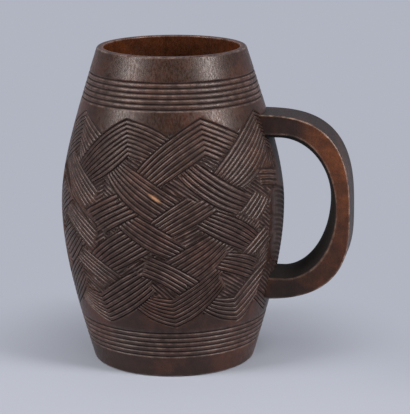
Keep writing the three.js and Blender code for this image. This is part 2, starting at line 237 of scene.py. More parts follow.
FAR_RISING = [
    (8, [(-36.2, 113.8), (-18.2, 129.8), (0, 139.2)],
     [(-22.2, 106.8), (-11.2, 113.9), (1.4, 121.3)], RIGHT),
    (6, [(-27, 88.5), (-19.5, 95.5), (-11, 101.2)],
     [(-17, 81), (-7, 86.8), (3.5, 93.5)], NONE),
    (7, [(-20.2, 68), (-9.2, 74.5), (0.8, 80.2)],
     [(-4.5, 56.5), (4.3, 62), (11.8, 70)], NONE),
    (7, [(-19, 46), (-7, 54), (4, 61.5)],
     [(-16, 30.1), (-0.7, 38.5), (12.5, 51)], LEFT),
]
FAR_FALLING = [
    (8, [(0, 139.2), (11.8, 135), (22, 130)],
     [(1.4, 121.3), (4.8, 119.8), (8, 118.2)], LEFT),
    (6, [(-3.2, 117.3), (9.8, 108), (24.3, 99.5)],
     [(-13.7, 110.3), (-0.2, 98.3), (16, 90)], NONE),
    (5, [(5, 92.3), (17.5, 85.5), (29.8, 76.8)],
     [(-3.7, 84), (8, 76), (20.8, 69)], NONE),
    (5, [(11.5, 70), (22.5, 66), (35, 58.5)],
     [(5.5, 61), (16.3, 56), (26, 50.5)], NONE),
    (7, [(9.5, 47), (15.5, 46.2), (21, 46)],
     [(1.3, 39.2), (11.8, 33.3), (24, 30.1)], RIGHT),
]


def far_side_panels(chance):
    """The repeat under each far peak, stretched to the space between peaks."""
    width = (FAR_PEAKS_FROM - FAR_PEAKS_TO) / FAR_REPEATS
    panels = []
    for repeat in range(FAR_REPEATS + 1):
        peak = FAR_PEAKS_FROM - repeat * width
        sideways = chance.uniform(-NUDGE_DEGREES, NUDGE_DEGREES) if repeat else 0
        for ridges, top, bottom, folds in FAR_RISING + (FAR_FALLING if repeat else []):
            upwards = 0 if folds else chance.uniform(-NUDGE_HEIGHT, NUDGE_HEIGHT)
            rails = [
                [(peak + sideways + x * width / REPEAT_WIDTH, z + upwards) for x, z in rail]
                for rail in (top, bottom)
            ]
            panels.append((ridges, *rails, folds))
    return panels


chance = np.random.default_rng(7)
PANELS = RISING_PANELS + FALLING_PANELS + far_side_panels(chance)
print("panels in the whole plait:", len(PANELS))

# %% [markdown]
# The flat drawing
#
# Carving is easiest to lay out on the barrel's skin unrolled, with millimetres round the
# belly to the right and height upwards. A rail is then a smooth curve through its three
# places, and a place in a panel is found by going along both rails and across between them.

# %% Places inside a panel
FULL_TURN = 2 * pi * BELLY_RADIUS


def unrolled(degrees, height):
    return np.array([radians(degrees) * BELLY_RADIUS, height])


def from_handle(along_skin):
    """How far round from the handle's middle a place is, either way, in degrees."""
    return 180 - np.abs(np.degrees(along_skin / BELLY_RADIUS) + 180)


def through_three(places, along):
    """A smooth curve through three places, carried on straight past its ends."""
    first, middle, last = places
    to_middle = dist(first, middle)
    share = to_middle / (to_middle + dist(middle, last))
    run = last - first
    bend = (middle - first - share * run) / (share * (share - 1))
    inside = np.clip(along, 0, 1)[:, None]
    past = along[:, None] - inside
    return first + along[:, None] * run + (inside * (inside - 1) + np.abs(past)) * bend


class Panel:
    """One bundle of ridges between a top and a bottom rail, on the unrolled skin."""

    def __init__(self, number, ridges, top, bottom, folds):
        self.number, self.ridges, self.folds = number, ridges, folds
        self.top, self.bottom = ([unrolled(*place) for place in rail] for rail in (top, bottom))
        self.length = sum(dist(rail[0], rail[2]) for rail in (self.top, self.bottom)) / 2
        self.sway = chance.uniform(0, 2 * pi, (2, ridges + 1))
        self.depth = chance.uniform(*DEPTH_SPREAD, ridges + 1)

    def places(self, along, line):
        """Places at shares along, on a line that is counted in ridges from the top rail."""
        groove = min(int(max(line, 0)), self.ridges - 1)
        part = line - groove
        window = np.sin(pi * np.clip(along, 0, 1))
        phases, speeds = self.sway[0], 4 + 3 * np.sin(self.sway[1])
        sways = [np.sin(speeds[g] * along + phases[g]) for g in (groove, groove + 1)]
        sway = (1 - part) * sways[0] + part * sways[1]
        across = (line + GROOVE_SWAY * window * sway) / self.ridges
        top, bottom = (through_three(rail, along) for rail in (self.top, self.bottom))
        return top + across[:, None] * (bottom - top)

    def rails(self):
        along = np.linspace(0, 1, 9)
        return [self.places(along, 0), self.places(along, self.ridges)]


GROOVE_SWAY = 0.07
DEPTH_SPREAD = (0.82, 1.12)
panels = [Panel(number, *panel) for number, panel in enumerate(PANELS)]
pitches = [dist(p.top[1], p.bottom[1]) / p.ridges for p in panels]
print("mean distance between grooves in mm:", round(float(np.mean(pitches)), 2))

# %% [markdown]
# Where a ridge stops
#
# A ridge runs on until it meets a neighbour's rail, and stops just short of it, so that the
# rail's groove stays clean. A ridge with nothing in its way fades out at the end of its
# panel, and one that ends in a fold keeps its full height.

# %% Walls and ends
REACH_PAST_END = 3.2
STEP_ALONG_TEST = 0.15
CREST_SHORT_OF_WALL = 0.42
GROOVE_SHORT_OF_WALL = 0.12
SAME_END = 0.8
NOTHING_NEAR = 1e9
HANDLE_CLEAR_DEGREES = 9


def distance_to(segments, places):
    """Each place's distance to the nearest of the segments."""
    start, run = segments[:, 0], segments[:, 1] - segments[:, 0]
    away = places[:, None] - start[None]
    share = (away * run).sum(2) / np.maximum((run * run).sum(1), 1e-9)
    nearest = away - np.clip(share, 0, 1)[..., None] * run
    return np.sqrt((nearest ** 2).sum(2).min(1, initial=NOTHING_NEAR))


def folds_with(one, other):
    """Whether two panels share a fold: an end of one is an end of the other."""
    return any(
        max(dist(one.top[i], other.top[j]), dist(one.bottom[i], other.bottom[j])) < SAME_END
        for i, j in ((0, 0), (0, 2), (2, 0), (2, 2))
    )


def walls_round(panel):
    """The rails near a panel, as segments, apart from its own and those it folds with."""
    own = np.vstack(panel.rails())
    low, high = own.min(0) - REACH_PAST_END - 1, own.max(0) + REACH_PAST_END + 1
    segments = np.array([
        pair for other in panels if other is not panel and not folds_with(panel, other)
        for rail in other.rails() for pair in zip(rail, rail[1:])
    ])
    near = (segments.max(1) > low) & (segments.min(1) < high)
    return segments[near.all(1)]


def stop_of(panel, line, walls, end, margin):
    """How far a line goes towards one end, as a share along, and how it ends there."""
    past = 0 if end in panel.folds else REACH_PAST_END / panel.length
    goal = 1 + past if end == "right" else -past
    steps = max(4, int(panel.length * abs(goal - 0.5) / STEP_ALONG_TEST))
    along = np.linspace(0.5, goal, steps)
    places = panel.places(along, line)
    off_skin = from_handle(places[:, 0]) < HANDLE_CLEAR_DEGREES
    if off_skin.any():
        return along[max(0, int(np.argmax(off_skin)) - 1)], "fade"
    clear = distance_to(walls, places) - margin
    if (clear < 0).any():
        first = int(np.argmax(clear < 0))
        if first == 0:
            return 0.5, "wall"
        part = clear[first - 1] / (clear[first - 1] - clear[first])
        return along[first - 1] + part * (along[first] - along[first - 1]), "wall"
    return (1.0 if end == "right" else 0.0), ("fold" if end in panel.folds else "fade")


print("reach past a panel's end in mm:", REACH_PAST_END)

# %% [markdown]
# The cut of the gouge
#
# A V-gouge leaves a narrow groove, and what stands between two grooves is a flat-topped
# ridge whose arrises are worn pale, some more than others, and that pale colour is also a
# painted highlight where the light catches them. Seven lines for each ridge draw that
# section: the groove's bottom, then a flank, an arris and the edge of the flat top, and the
# same three down the other side. Each line is a row of edges in the mesh, so the light
# catches the ridges along their whole length.

# %% Lines of the carving
GROOVE_DEPTH = 0.95
ARRIS_LEVEL = -0.1
SECTION = [
    (0, -1.0), (0.1, -0.8), (0.25, ARRIS_LEVEL), (0.4, 0),
    (0.6, 0), (0.75, ARRIS_LEVEL), (0.9, -0.8),
]
STEP_ALONG = 3.0
END_RAMP = 0.45
FADE_LENGTH = 1.6
SHORTEST_RIDGE = 0.8
END_DROP = 0.3
CLOSEST_POINTS = 0.3

points, heights, wear_and_highlights, edges = [], [], [], []


def add_run(places, levels, worn_and_lit=0.0):
    """Adds a row of points joined by edges, with their heights in mm and their wear with a painted
    highlight.
    """
    first = len(points)
    points.extend(Vector(place) for place in places)
    heights.extend(levels)
    wear_and_highlights.extend([worn_and_lit] * len(places))
    edges.extend((first + i, first + i + 1) for i in range(len(places) - 1))


def ridge_line(panel, line, level, walls):
    """One line of a panel: its places and heights, cut off where something is in its way."""
    is_groove = level == -1
    margin = GROOVE_SHORT_OF_WALL if is_groove else CREST_SHORT_OF_WALL
    start, start_kind = stop_of(panel, line, walls, "left", margin)
    finish, finish_kind = stop_of(panel, line, walls, "right", margin)
    length = (finish - start) * panel.length
    if length < SHORTEST_RIDGE:
        return None
    near = round(min(max(line, 0), panel.ridges))
    full = GROOVE_DEPTH * panel.depth[near] * level
    shares = list(np.linspace(start, finish, max(2, round(length / STEP_ALONG) + 1)))
    levels = [full] * len(shares)
    for end, kind in ((0, start_kind), (-1, finish_kind)):
        if kind == "fold" or (kind == "wall" and is_groove):
            continue
        levels[end] = 0 if kind == "fade" else full - END_DROP * GROOVE_DEPTH
        ramp = min(FADE_LENGTH if kind == "fade" else END_RAMP, length / 3) / panel.length
        inner = shares[end] + (ramp if end == 0 else -ramp)
        if min(abs(inner - share) for share in shares[1:-1] or [9]) * panel.length > CLOSEST_POINTS:
            place = 1 if end == 0 else len(shares) - 1
            shares.insert(place, inner)
            levels.insert(place, full)
    return panel.places(np.array(shares), line), levels


CELL = 0.25
columns = int(FULL_TURN / CELL) + 1
rows = int(HEIGHT / CELL) + 1
owner = np.full((columns, rows), -1, np.int16)


def cells_of(places):
    column = np.clip(((places[:, 0] + FULL_TURN) / CELL).astype(int), 0, columns - 1)
    return column, np.clip((places[:, 1] / CELL).astype(int), 0, rows - 1)


def claim(places, number):
    """Marks the skin under a run of places as carved by one panel."""
    for start, end in zip(places, places[1:]):
        steps = max(2, int(dist(start, end) / (CELL * 0.7)))
        share = np.linspace(0, 1, steps)[:, None]
        owner[cells_of(start + share * (end - start))] = number


for panel in panels:
    walls = walls_round(panel)
    for ridge in range(panel.ridges + 1):
        for part, level in (SECTION if ridge < panel.ridges else SECTION[:1]):
            made = ridge_line(panel, ridge + part, level, walls)
            if made:
                # Each arris gets wear and a painted highlight, of random strength.
                add_run(*made, worn_and_lit=chance.uniform(0.4, 1) if level == ARRIS_LEVEL else 0)
                claim(made[0], panel.number)
print("points in the ridges:", len(points), "edges:", len(edges))

# %% [markdown]
# The gaps in the plait
#
# Where panels leave a gap, the carver filled it with short ridges in one direction, or in
# two that meet as a small chevron. A gap is a patch of cells that no panel has carved,
# between the top and the bottom of the plait. The plain wood beside the handle is no gap.

# %% Find the gaps
GAP_MARGIN = 2
SMALLEST_GAP = 1.4
PLAIN_DEGREES = 21
PLAIN_BOTTOM, PLAIN_TOP = 58, 98


def grown(mask, cells):
    """The mask with a rim of cells added all round."""
    for _ in range(cells):
        shifted = [np.roll(mask, step, axis) for step in (-1, 1) for axis in (0, 1)]
        mask = np.any([mask, *shifted], 0)
    return mask


def patches_of(mask):
    """The separate patches of a mask, each as an array of its cells."""
    waiting = dict.fromkeys(zip(*(axis.tolist() for axis in np.nonzero(mask))))
    patches = []
    while waiting:
        patch = [waiting.popitem()[0]]
        for column, row in patch:
            for step in ((1, 0), (-1, 0), (0, 1), (0, -1)):
                cell = (column + step[0], row + step[1])
                if cell in waiting:
                    del waiting[cell]
                    patch.append(cell)
        patches.append(np.array(patch))
    return patches


carved = owner >= 0
reached_from_below = np.logical_or.accumulate(carved, 1)
reached_from_above = np.logical_or.accumulate(carved[:, ::-1], 1)[:, ::-1]
cell_degrees = from_handle(np.arange(columns)[:, None] * CELL - FULL_TURN)
cell_z = np.arange(rows)[None] * CELL
plain = (cell_degrees < PLAIN_DEGREES) & (cell_z > PLAIN_BOTTOM) & (cell_z < PLAIN_TOP)
gap_cells = reached_from_below & reached_from_above & ~grown(carved, GAP_MARGIN)
gap_cells &= (cell_degrees > HANDLE_CLEAR_DEGREES) & ~plain
gaps = [gap for gap in patches_of(gap_cells) if len(gap) * CELL * CELL > SMALLEST_GAP]
print("gaps in the plait:", len(gaps), "of", round(sum(map(len, gaps)) * CELL * CELL), "mm2")

# %% Fill the gaps with short ridges
HATCH_SLANT = 34
HATCH_PITCH = 1.9
HATCH_DEPTH = 0.75
HATCH_SECTION = [(0, -1.0), (0.24, -0.5), (0.5, 0), (0.76, -0.5)]
HATCH_STEP = 0.2
SHORTEST_HATCH = 0.7
CHEVRON_SHARE = 0.45


def straight_runs(is_inside):
    """The first and last index of each unbroken stretch."""
    changes = np.flatnonzero(np.diff(np.concatenate([[0], is_inside.astype(int), [0]])))
    return [(first, end - 1) for first, end in zip(changes[::2], changes[1::2])]


def hatch(cells, slant):
    """Fills some cells with parallel ridges at a slant in degrees."""
    inside = np.zeros_like(carved)
    inside[cells[:, 0], cells[:, 1]] = True
    spots = cells * CELL + [CELL / 2 - FULL_TURN, CELL / 2]
    along = np.array([cos(radians(slant)), sin(radians(slant))])
    across = np.array([-along[1], along[0]])
    middle = spots.mean(0)
    reach = np.abs((spots - middle) @ along).max() + CELL
    stretch = np.arange(-reach, reach, HATCH_STEP)
    lines = int(np.abs((spots - middle) @ across).max() / HATCH_PITCH) + 1
    for number in range(-lines, lines + 1):
        for part, level in HATCH_SECTION:
            places = middle + (number + part) * HATCH_PITCH * across + stretch[:, None] * along
            end_level = level if level == -1.0 else level - END_DROP
            levels = [HATCH_DEPTH * value for value in (end_level, level, end_level)]
            for first, last in straight_runs(inside[cells_of(places)]):
                if (last - first) * HATCH_STEP >= SHORTEST_HATCH:
                    run = places[[first, (first + last) // 2, last]]
                    # The crest of each short ridge gets wear and a painted highlight.
                    add_run(run, levels, worn_and_lit=float(level == 0))
                    claim(run, len(panels))


ridge_points = len(points)
for gap in gaps:
    slant = HATCH_SLANT + chance.uniform(-8, 8)
    if chance.random() < CHEVRON_SHARE:
        is_left = gap[:, 0] < gap[:, 0].mean()
        for side, direction in ((gap[is_left], 1), (gap[~is_left], -1)):
            hatch(side, direction * slant)
    else:
        hatch(gap, slant * chance.choice([-1, 1]))
print("points in the gaps:", len(points) - ridge_points)

# %% [markdown]
# Behind the handle
#
# The gouge could not reach freely between the strap's roots, so the carver only cut short
# slanting strokes there, one above the other. All follow one bend, so that they never
# cross. They pass the seam of the drawing, so each is written as two parts that meet on it.

# %% Strokes behind the handle
STROKE_BOTTOM = 56
STROKE_TOP = 101
STROKE_PITCH = 2.6
STROKE_DROP = 9
STROKE_DEPTH = 1.0
STROKE_SECTION = [(-0.3, -0.25), (0, -1.0), (0.3, -0.25), (0.5, 0)]
STROKE_START = (-22, -12)
STROKE_END = 8.5

stroke_feet = np.arange(STROKE_BOTTOM, STROKE_TOP, STROKE_PITCH)
for foot in stroke_feet:
    start = chance.uniform(*STROKE_START)
    depth = STROKE_DEPTH * chance.uniform(0.6, 1)
    for part, level in STROKE_SECTION:
        for side, turn_back in ((np.linspace(start, 0, 6), 0), (np.linspace(0, STROKE_END, 4), 360)):
            reached = (side - start) / (STROKE_END - start)
            run = np.array([unrolled(degrees - turn_back, 0) for degrees in side])
            bend = ((side - STROKE_START[0]) / (STROKE_END - STROKE_START[0])) ** 1.5
            run[:, 1] = foot + part * STROKE_PITCH - STROKE_DROP * bend
            fade = np.clip(np.minimum(reached * 3, (1 - reached) * 5), 0.1, 1)
            add_run(run, list(depth * level * fade))
            claim(run, len(panels) + 1)
print("strokes behind the handle:", len(stroke_feet))

# %% [markdown]
# Beside each outer rail the wood rises to its full height again, like half a ridge. These
# shoulders are only drawn where no neighbour is carved up to the rail. The rest of the skin
# is plain and takes a coarse net of points.

# %% Shoulders beside the rails, and the plain skin
SHOULDER = [(0.1, -0.78), (0.24, -0.07), (0.5, 0), (0.9, 0)]
SHOULDER_STEP = 1.3
PLAIN_SPACING = 2.5
STROKES_FROM, STROKES_TO = STROKE_BOTTOM - 4, STROKE_TOP + 2
SKIN_COLUMNS = 180
RING_GROOVES = 6
UPPER_RING_TOP = HEIGHT - 13
UPPER_RING_PITCH = 2.62
LOWER_RING_BOTTOM = 12.5
LOWER_RING_PITCH = 2.7
SKIN_MARGIN = 0.4
skin_bottom = LOWER_RING_BOTTOM + RING_GROOVES * LOWER_RING_PITCH
skin_top = UPPER_RING_TOP - RING_GROOVES * UPPER_RING_PITCH


def free_runs(places, number):
    """The stretches of a line that no other panel has carved, as separate runs."""
    holders = owner[cells_of(places)]
    free = (holders < 0) | (holders == number)
    free &= (places[:, 1] > skin_bottom + SKIN_MARGIN) & (places[:, 1] < skin_top - SKIN_MARGIN)
    free &= from_handle(places[:, 0]) > HANDLE_CLEAR_DEGREES
    return [places[first:last + 1] for first, last in straight_runs(free) if last > first]


ridge_points = len(points)
for panel in panels:
    along = np.linspace(0, 1, max(4, round(panel.length / SHOULDER_STEP)))
    for edge, direction in ((0, -1), (panel.ridges, 1)):
        for part, level in SHOULDER:
            for run in free_runs(panel.places(along, edge + direction * part), panel.number):
                add_run(run, [level * GROOVE_DEPTH] * len(run))
                claim(run, panel.number)
print("points in the shoulders:", len(points) - ridge_points)

busy = grown(owner >= 0, 4)
plain_heights = np.linspace(skin_bottom, skin_top, round((skin_top - skin_bottom) / PLAIN_SPACING))
for column, x in enumerate(np.linspace(-FULL_TURN, 0, SKIN_COLUMNS + 1)):
    on_seam = column in (0, SKIN_COLUMNS)
    for z in (skin_bottom, skin_top, *plain_heights[1:-1]):
        in_strokes = STROKES_FROM < z < STROKES_TO
        taken = in_strokes if on_seam else busy[cells_of(np.array([[x, z]]))].any()
        if z in (skin_bottom, skin_top) or not taken:
            add_run([(x, z)], [0])
print("points in all:", len(points))

# %% [markdown]
# From the drawing to the barrel
#
# One call joins all the points into triangles that keep every edge. Its result is bent
# round the barrel: the distance along becomes an angle, and the height of the carving moves
# each point in or out from the barrel's own radius.

# %% Triangles of the carved skin
EPSILON = 0.01


def triangulated():
    """The unrolled skin as places, heights, wear with painted highlight, and triangles."""
    found = delaunay_2d_cdt(points, edges, [], 0, EPSILON, True)
    places = np.array([place[:] for place in found[0]])
    levels = [min((heights[i] for i in sources), default=-GROOVE_DEPTH / 2) for sources in found[3]]
    worn_and_lit = [max((wear_and_highlights[i] for i in sources), default=0) for sources in found[3]]
    return places, np.array(levels), np.array(worn_and_lit), found[2]


skin_places, skin_levels, skin_wear_and_highlight, skin_faces = triangulated()
print("skin:", len(skin_places), "points,", len(skin_faces), "triangles")


def bent_round(places, levels):
    angle = places[:, 0] / BELLY_RADIUS
    radius = outer_radius(places[:, 1]) + levels
    return np.stack([radius * np.cos(angle), radius * np.sin(angle), places[:, 1]], 1)


skin = bent_round(skin_places, skin_levels)

# %% [markdown]
# The rest of the cup is turned, so it is a profile spun about the axis: the foot, two bands
# of low rings, whose arrises are worn and whose upper arris also carries a painted highlight,
# where light from above falls, the plain neck, the lip and the hollow. The profile is in two
# parts, below and above the carved skin, and meets it point for point.

# %% Profiles of the turned parts
FOOT_ROUNDING = 1.2
LIP_ROUNDING = 0.9
FLOOR_THICKNESS = 12
FLOOR_COVE = 9
RING_DEPTH = 0.8
# The third number of a row is wear with a painted highlight: the upper arris gets most, for light from
# above.
RING_SECTION = [
    (0, -1, 0), (0.09, -0.75, 0), (0.22, -0.1, 0.25),
    (0.5, 0, 0.1), (0.78, -0.06, 0.8), (0.91, -0.75, 0),
]
RING_ENTRY = [(0.5, 0, 0), (0.22, -0.06, 0.8), (0.09, -0.75, 0)]
INSIDE_ROWS = 24
CORNER_STEPS = 5


def cut_row(z, level, worn_and_lit=0.0):
    """A row of the profile as (radius, height, cut, wear with painted highlight), cut into the barrel's
    side.
    """
    return (float(outer_radius(z)) + RING_DEPTH * level, z, RING_DEPTH * level, worn_and_lit)


def ring_rows(lowest_groove, pitch):
    """Rows of a ring band, from just under its lowest groove up to its highest groove."""
    made = [cut_row(lowest_groove - part * pitch, *marks) for part, *marks in RING_ENTRY]
    for ring in range(RING_GROOVES):
        for part, *marks in RING_SECTION:
            if ring < RING_GROOVES - 1 or part < 0.4:
                made.append(cut_row(lowest_groove + (ring + part) * pitch, *marks))
    return made


def plain_rows(low, high, step):
    return [cut_row(z, 0) for z in np.linspace(low, high, max(2, round((high - low) / step) + 1))]


def corner_rows(radius_at, face, rounding, upwards, outwards):
    """A quarter round from a side of the wall to a level face, worn in its middle."""
    made = []
    for step in range(CORNER_STEPS + 1):
        turn = step / CORNER_STEPS * pi / 2
        z = face - upwards * rounding * (1 - sin(turn))
        radius = float(radius_at(z)) - outwards * rounding * (1 - cos(turn))
        made.append((radius, z, 0.0, sin(2 * turn)))
    return made


def foot_profile():
    underside = [(radius, 0.0, 0.0, 0.0) for radius in np.linspace(0, BASE_RADIUS - 3, 9)]
    foot = corner_rows(outer_radius, 0, FOOT_ROUNDING, -1, 1)[::-1]
    side_top = LOWER_RING_BOTTOM - RING_ENTRY[0][0] * LOWER_RING_PITCH
    side = plain_rows(FOOT_ROUNDING * 1.5, side_top, 1.8)
    rings = ring_rows(LOWER_RING_BOTTOM, LOWER_RING_PITCH)
    return underside + foot + side[:-1] + rings + [cut_row(skin_bottom, 0)]


def neck_profile():
    lowest_groove = UPPER_RING_TOP - (RING_GROOVES - 1) * UPPER_RING_PITCH
    rings = ring_rows(lowest_groove, UPPER_RING_PITCH)
    neck = plain_rows(UPPER_RING_TOP + 0.4 * UPPER_RING_PITCH, HEIGHT - 2 * LIP_ROUNDING, 1.6)
    lip = corner_rows(outer_radius, HEIGHT, LIP_ROUNDING, 1, 1)
    lip_inside = corner_rows(inner_radius, HEIGHT, LIP_ROUNDING, 1, -1)[::-1]
    inside_heights = np.linspace(HEIGHT - 2 * LIP_ROUNDING, FLOOR_THICKNESS + FLOOR_COVE, INSIDE_ROWS)
    inside = [(float(inner_radius(z)), z, 0.0, 0.0) for z in inside_heights]
    cove = corner_rows(inner_radius, FLOOR_THICKNESS, FLOOR_COVE, -1, 1)
    floor = [(radius, FLOOR_THICKNESS, 0.0, 0.0) for radius in np.linspace(cove[-1][0] * 0.9, 0, 8)]
    return [cut_row(skin_top, 0)] + rings + neck + lip + lip_inside + inside + cove[1:] + floor


print("rows below the carving:", len(foot_profile()), "and above:", len(neck_profile()))

# %% [markdown]
# The cup mesh
#
# The skin and the two turned parts become one closed mesh. Each point keeps how deep it was
# cut, how worn it is with a painted highlight, and whether its wood is bare, as in the
# hollow, so that the wood can darken in the grooves, brighten along the arrises and redden
# inside. Painted shade between the strap's roots, where the handle shades the barrel, counts
# as a slight cut. The cup is round, so one cylindrical map lies on it without a stretch.

# %% Build the cup
CUT_DIRT_AND_SHADE_NAME = "cut_dirt_and_shade"
WEAR_AND_HIGHLIGHT_NAME = "wear_and_painted_highlight"
BARE_NAME = "bare_wood"
MAP_NAME = "OFBake"
# How far round and up the painted shade between the strap's roots reaches, and how dark it is, as a
# depth in mm.
SHADE_REACH = 18
SHADE_FADE = 8
SHADE_DEPTH = 0.3


def mark_points(mesh, cuts_dirt_and_shade, worn_and_lit, bare):
    """Keeps what the wood needs to know about each point of a mesh."""
    for name, values in ((CUT_DIRT_AND_SHADE_NAME, cuts_dirt_and_shade), (WEAR_AND_HIGHLIGHT_NAME, worn_and_lit), (BARE_NAME, bare)):
        layer = mesh.attributes.new(name, "FLOAT", "POINT")
        layer.data.foreach_set("value", np.array(values, np.float32))


def shade_between_roots(places):
    """Painted shade between the strap's roots, where the handle shades the barrel, as a depth in mm to
    add.
    """
    beside = np.clip((SHADE_REACH - from_handle(places[:, 0])) / SHADE_FADE, 0, 1)
    inside = np.clip((places[:, 1] - HANDLE_BOTTOM) / SHADE_FADE, 0, 1)
    inside *= np.clip((HANDLE_TOP + 2 - places[:, 1]) / SHADE_FADE, 0, 1)
    return -SHADE_DEPTH * beside * inside


def lengths_along(profile):
    steps = [dist(a[:2], b[:2]) for a, b in zip(profile, profile[1:])]
    return np.concatenate([[0], np.cumsum(steps)])


def spun(profile, first_index):
    """Places, marks, faces and the (column, row) of each face corner of a turned part."""
    turns = 2 * pi * np.arange(SKIN_COLUMNS) / SKIN_COLUMNS
    places = [(r * cos(turn), r * sin(turn), z) for r, z, *_ in profile for turn in turns]
    marks = [(cut, worn_and_lit) for _, _, cut, worn_and_lit in profile for _ in turns]
    corners = [
        [(column, row), (column + 1, row), (column + 1, row + 1), (column, row + 1)]
        for row in range(len(profile) - 1) for column in range(SKIN_COLUMNS)
    ]
    faces = [
        [first_index + row * SKIN_COLUMNS + column % SKIN_COLUMNS for column, row in face]
        for face in corners
    ]
    return places, marks, faces, corners


def build_cup():
    foot, neck = foot_profile(), neck_profile()
    side_heights = np.linspace(skin_bottom, skin_top, 50)
    up_foot = lengths_along(foot)
    up_side = up_foot[-1] + lengths_along([(float(outer_radius(z)), z) for z in side_heights])
    up_neck = up_side[-1] + lengths_along(neck)

    places = [tuple(place) for place in skin]
    # The painted shade between the strap's roots is added to the cut depth, so the groove colour
    # darkens it.
    marks = list(zip(skin_levels + shade_between_roots(skin_places), skin_wear_and_highlight))
    faces = [list(face) for face in skin_faces]
    across = (skin_places[:, 0] + FULL_TURN) / FULL_TURN
    up = np.interp(skin_places[:, 1], side_heights, up_side)
    chart = [(across[i], up[i] / up_neck[-1]) for face in faces for i in face]
    for profile, up in ((foot, up_foot), (neck, up_neck)):
        more_places, more_marks, more_faces, corners = spun(profile, len(places))
        places += more_places
        marks += more_marks
        faces += more_faces
        chart += [(column / SKIN_COLUMNS, up[row] / up_neck[-1])
                  for face in corners for column, row in face]

    mesh = bpy.data.meshes.new("carved_cup")
    mesh.from_pydata([tuple(v * MM for v in place) for place in places], [], faces)
    x, y, z = np.array(places).T
    middle_wall = (inner_radius(z) + outer_radius(z)) / 2
    in_hollow = (np.hypot(x, y) < middle_wall) & (z > FLOOR_THICKNESS - 1)
    cuts_dirt_and_shade, worn_and_lit = zip(*marks)
    mark_points(mesh, cuts_dirt_and_shade, worn_and_lit, in_hollow)
    uv = mesh.uv_layers.new(name=MAP_NAME)
    uv.data.foreach_set("uv", np.array(chart, np.float32).ravel())
    return mesh


def welded(mesh, gap=1e-6):
    """Joins the points that lie on each other, where the parts of the cup meet."""
    joined = bmesh.new()
    joined.from_mesh(mesh)
    bmesh.ops.remove_doubles(joined, verts=joined.verts, dist=gap)
    open_edges = sum(1 for edge in joined.edges if not edge.is_manifold)
    joined.to_mesh(mesh)
    joined.free()
    mesh.shade_smooth()
    return open_edges


cup_mesh = build_cup()
open_edges = welded(cup_mesh)
cup = placed("carved_cup", cup_mesh)
triangles = sum(len(p.vertices) - 2 for p in cup_mesh.polygons)
print("cup:", len(cup_mesh.vertices), "points,", triangles, "triangles, open edges:", open_edges)

# %% [markdown]
# The handle
#
# The strap is flat outside and on its two sides, and rounded towards the fingers. Three
# bends guide it, seen from the side: the outer face, the edge of the flat side and the
# finger side. Its section is spread between them, and each lengthwise line is cut where it
# enters the barrel, so the strap grows out of the wall with no gap.

# %% The three bends of the strap
ROOT_SINK = 2.0
ARRIS = 0.6
STRAP_STEPS = 120
FINE_STEPS = 1600


def bend_path(centre_out, centre_z, inwards, below_top, above_bottom, squareness):
    """A bend of the strap as a row of (x, z), from inside the barrel and back into it."""
    centre_x = BELLY_RADIUS + centre_out
    reach = HANDLE_REACH - inwards - centre_x
    top, bottom = HANDLE_TOP - below_top, HANDLE_BOTTOM + above_bottom
    turns = np.linspace(pi / 2, -pi / 2, 241)
    exponent = np.where(turns >= 0, 2 / squareness[0], 2 / squareness[1])
    rise = np.where(turns >= 0, top - centre_z, bottom - centre_z)
    x = centre_x + reach * np.clip(np.cos(turns), 0, 1) ** exponent
    z = centre_z + rise * np.abs(np.sin(turns)) ** exponent
    inside = BELLY_RADIUS / 2
    return np.vstack([[(inside, top)], np.stack([x, z], 1), [(inside, bottom)]])


OUTER_BEND = bend_path(-13.8, 80, 0, 0, 0, (2.95, 2.63))
SIDE_BEND = bend_path(2.3, 85.2, 6.8, 10.2, 11.5, (2, 2))
FINGER_BEND = bend_path(-1.8, 92, 11.1, 13.4, 15.4, (2, 2))
print("places in a bend:", len(OUTER_BEND))

# %% [markdown]
# The two arrises along the outer face and the two along the fingers are worn pale, and the
# pale colour is also a painted highlight along them. Dirt has gathered on the finger side,
# and a little of it on the outer face. The flat sides are polished bare where the hand
# closes round them, most of all high up and far from the roots.

# %% The section of the strap
SECTION_FACE_STEPS = 6
SECTION_SIDE_STEPS = 5
SECTION_ROUND_STEPS = 9
FINGER_DIRT = -0.7
OUTER_DIRT = -0.24
SIDE_RUN = 6.8
BARE_FROM = 68
BARE_RUN = 18
BARE_ABOVE_ROOT = 13
BARE_RISE = 36


def strap_section():
    """Corners as shares of the outer, side and finger bends, a place across, dirt, and wear with
    painted highlight.
    """
    half = HANDLE_WIDTH / 2
    soft = ARRIS / SIDE_RUN
    across = np.linspace(-half + ARRIS, half - ARRIS, SECTION_FACE_STEPS)
    face = [(1, 0, 0, y, OUTER_DIRT, 0.7 * float(abs(y) > half - 1.1 * ARRIS)) for y in across]
    for place in (1, -1):
        near_arris = face[0 if place == 1 else -1][3] + 0.5 * place
        face.insert(place, (1, 0, 0, near_arris, OUTER_DIRT, 0.0))
    arris = [(1 - 0.3 * soft, 0.3 * soft, 0, half - 0.3 * ARRIS, 0, 1.0)]
    side_shares = [*np.linspace(soft, 1 - soft, SECTION_SIDE_STEPS), 1]
    side = [(1 - s, s, 0, half, 0, 0.5 if s == 1 else 0.0) for s in side_shares]
    turns = np.linspace(0, pi, 2 * SECTION_ROUND_STEPS + 1)[1:-1]
    fingers = [(0, 1 - sin(t), sin(t), half * cos(t), FINGER_DIRT, 0.0) for t in turns]
    other_side = [(a, b, c, -y, dirt, worn_and_lit) for a, b, c, y, dirt, worn_and_lit in reversed(arris + side)]
    return face + arris + side + fingers + other_side


